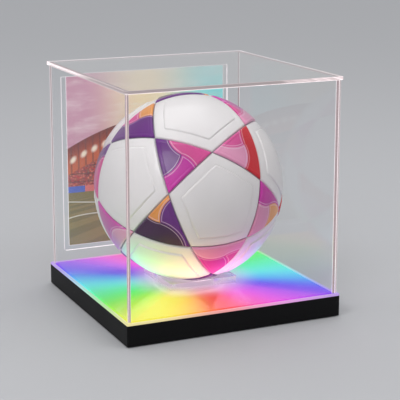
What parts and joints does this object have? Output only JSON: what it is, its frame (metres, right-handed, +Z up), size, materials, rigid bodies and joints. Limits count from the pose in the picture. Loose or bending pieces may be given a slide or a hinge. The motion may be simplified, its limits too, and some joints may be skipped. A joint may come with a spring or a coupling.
{
  "type": "ball display case",
  "caption": "Clear box on a black base with a lit top plate, a ball on a low riser inside, and a picture pocket on the rear wall.",
  "frame": {"origin": "on the surface that the case stands on, under the middle of the square base", "axes": "+Z up, -Y out of the front face, +Y out of the rear face with the picture pocket, +X to the right seen from the front"},
  "size_m": [0.261, 0.261, 0.2777],
  "materials": {
    "black_plastic": "fine matt moulded black plastic",
    "foot_rubber": "soft dark rubber",
    "screw_steel": "zinc plated steel",
    "white_sheet": "white reflecting sheet",
    "opal_acrylic": "opal light-spreading acrylic",
    "lit_acrylic": "clear acrylic lit from below in changing colours",
    "tape_film": "white flexible circuit tape",
    "chip_white": "white light chips",
    "board_green": "green circuit board",
    "component_black": "moulded black plastic",
    "socket_metal": "pressed stainless steel",
    "lead_cover": "flat three-core lead",
    "clear_acrylic": "clear polished acrylic",
    "printed_card": "gloss photo card",
    "bladder_rubber": "black butyl rubber",
    "ball_white": "white coated synthetic leather",
    "ball_colour": "printed and coated synthetic leather",
    "button_plastic": "satin black plastic"
  },
  "bodies": {
    "base": {"base_shell": "black_plastic", "bottom_cover": "black_plastic", "rubber_feet": "foot_rubber", "cover_screws": "screw_steel", "reflector_sheet": "white_sheet", "diffuser_sheet": "opal_acrylic", "light_plate": "lit_acrylic", "led_tape": "tape_film", "led_chips": "chip_white", "controller_board": "board_green", "board_parts": "component_black", "board_screws": "screw_steel", "usb_socket": "socket_metal", "socket_tongue": "component_black", "mode_switch": "component_black", "strip_lead": "lead_cover", "riser": "clear_acrylic"},
    "cover": {"front_panel": "clear_acrylic", "rear_panel": "clear_acrylic", "left_panel": "clear_acrylic", "right_panel": "clear_acrylic", "top_panel": "clear_acrylic", "pocket_spacer": "clear_acrylic", "pocket_sheet": "clear_acrylic"},
    "card": {"picture_card": "printed_card"},
    "ball": {"ball_bladder": "bladder_rubber", "ball_pentagons": "ball_white", "ball_triangles": "ball_colour", "ball_valve": "bladder_rubber"},
    "button": {"button_cap": "button_plastic"}
  },
  "joints": [
    {"name": "cover_lift", "type": "slide", "parent": "base", "child": "cover", "axis": [0, 0, 1], "range_m": [0, 0.26]},
    {"name": "card_slide", "type": "slide", "parent": "cover", "child": "card", "axis": [0, 0, 1], "range_m": [0, 0.015]},
    {"name": "ball_turn", "type": "hinge", "parent": "base", "child": "ball", "pos_m": [0, 0, 0.13868], "axis": [0, 0, 1], "continuous": true},
    {"name": "button_press", "type": "slide", "parent": "base", "child": "button", "axis": [0, -1, 0], "range_m": [0, 0.0008], "stiffness_N_per_m": 1500}
  ]
}
